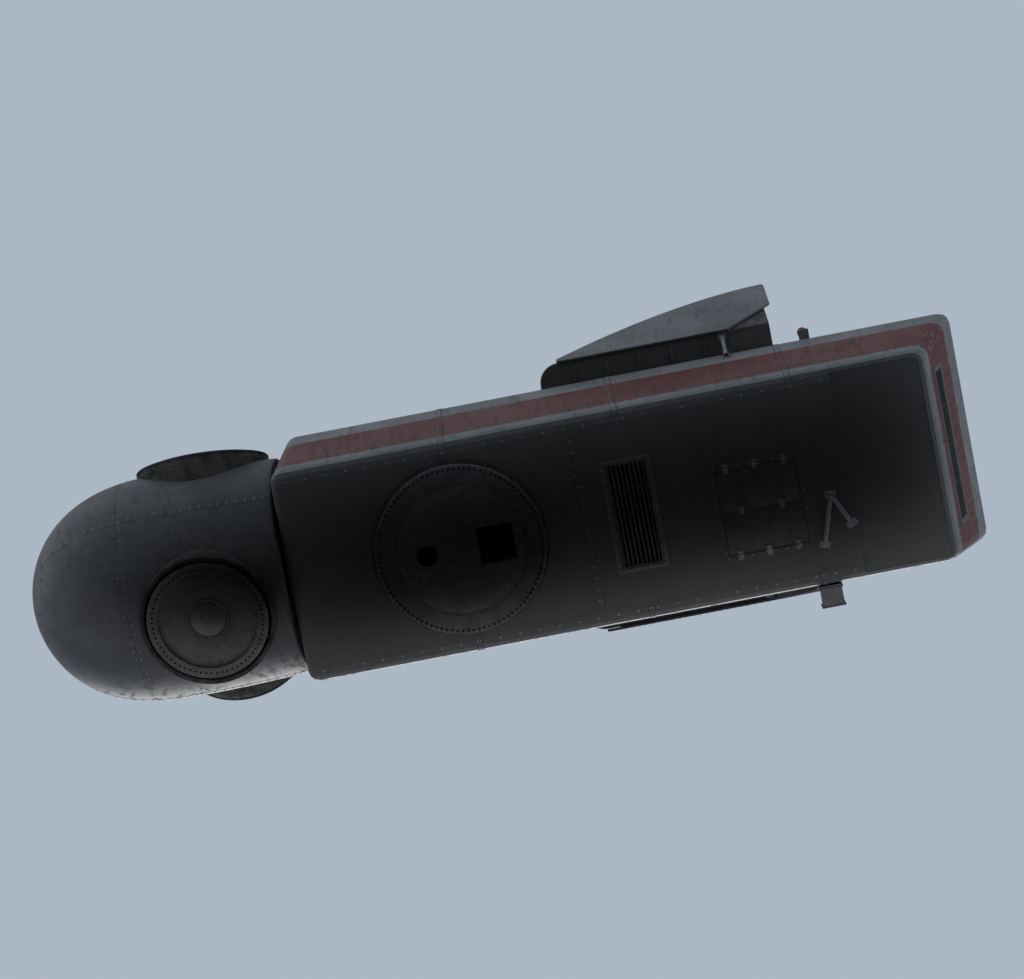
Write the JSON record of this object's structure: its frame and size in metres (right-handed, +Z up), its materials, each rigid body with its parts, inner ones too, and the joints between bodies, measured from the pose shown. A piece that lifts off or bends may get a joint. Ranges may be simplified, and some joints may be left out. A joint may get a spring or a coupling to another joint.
{
  "type": "wind turbine nacelle",
  "caption": "Box-shaped wind turbine nacelle with a roof cooler between side fins, a tilted rotor head with blade flanges, and the tower ring that it turns on.",
  "frame": {"origin": "centre of the tower flange's lower face, on the yaw axis", "axes": "+Z up, X along the housing with the rotor towards -X and the rear wall towards +X"},
  "size_m": [19.9821, 6.8758, 7.1769],
  "materials": {
    "gelcoat": "weathered light grey gel-coat with a dull red band",
    "cast_iron": "grey primer over rough casting, machined on the faces",
    "zinc_steel": "hot-dip galvanised, dulled",
    "black_rubber": "matt, dusty",
    "radiator_black": "matt black fins and frames",
    "lamp_red": "clear red lens on a grey foot"
  },
  "bodies": {
    "tower": {"tower_ring": "cast_iron"},
    "nacelle": {"anemometer_post": "zinc_steel", "bearing_housing": "cast_iron", "cooler_bearer_left": "zinc_steel", "cooler_bearer_right": "zinc_steel", "cooler_brace_left": "zinc_steel", "cooler_brace_right": "zinc_steel", "cooler_fin_left": "gelcoat", "cooler_fin_right": "gelcoat", "cooler_strut": "zinc_steel", "cooler_tray": "gelcoat", "crane_hatch": "gelcoat", "fin_stay_left": "zinc_steel", "fin_stay_right": "zinc_steel", "floor_bracket": "zinc_steel", "floor_front": "gelcoat", "floor_inlet": "radiator_black", "floor_middle": "gelcoat", "floor_rear": "gelcoat", "front_labyrinth": "cast_iron", "front_wall": "gelcoat", "lightning_rod": "zinc_steel", "mainframe": "cast_iron", "obstruction_light_left": "lamp_red", "obstruction_light_right": "lamp_red", "radiator_beam": "zinc_steel", "radiator_left": "radiator_black", "radiator_post_left": "zinc_steel", "radiator_post_middle": "zinc_steel", "radiator_post_right": "zinc_steel", "radiator_right": "radiator_black", "radiator_sill": "zinc_steel", "rear_louvre": "radiator_black", "rear_wall": "gelcoat", "roof_front": "gelcoat", "roof_hatch_front": "gelcoat", "roof_hatch_rear": "gelcoat", "roof_middle": "gelcoat", "roof_rail_left": "zinc_steel", "roof_rail_right": "zinc_steel", "roof_rear": "gelcoat", "side_outlet": "radiator_black", "side_wall_left_front": "gelcoat", "side_wall_left_rear": "gelcoat", "side_wall_right_front": "gelcoat", "side_wall_right_rear": "gelcoat", "wind_vane_post": "zinc_steel", "yaw_seal": "black_rubber"},
    "rotor": {"hub": "cast_iron", "main_shaft": "zinc_steel", "spinner_shell": "gelcoat", "spinner_nose": "gelcoat", "spinner_back": "gelcoat", "blade_collar_1": "black_rubber", "blade_collar_2": "black_rubber", "blade_collar_3": "black_rubber"},
    "pitch_1": {"pitch_flange_1": "cast_iron"},
    "pitch_2": {"pitch_flange_2": "cast_iron"},
    "pitch_3": {"pitch_flange_3": "cast_iron"}
  },
  "joints": [
    {"name": "yaw", "type": "hinge", "parent": "tower", "child": "nacelle", "pos_m": [0, 0, 0], "axis": [0, 0, 1], "continuous": true},
    {"name": "rotor_spin", "type": "hinge", "parent": "nacelle", "child": "rotor", "pos_m": [-5.15, 0, 2.40057], "axis": [-0.9962, 0, 0.0872], "continuous": true},
    {"name": "pitch_1_turn", "type": "hinge", "parent": "rotor", "child": "pitch_1", "pos_m": [-5.15, 0, 2.40057], "axis": [-0.0856, 0.1908, -0.9779], "range_deg": [0, 90]},
    {"name": "pitch_2_turn", "type": "hinge", "parent": "rotor", "child": "pitch_2", "pos_m": [-5.15, 0, 2.40057], "axis": [0.0284, -0.9455, 0.3243], "range_deg": [0, 90]},
    {"name": "pitch_3_turn", "type": "hinge", "parent": "rotor", "child": "pitch_3", "pos_m": [-5.15, 0, 2.40057], "axis": [0.0572, 0.7547, 0.6536], "range_deg": [0, 90]}
  ]
}
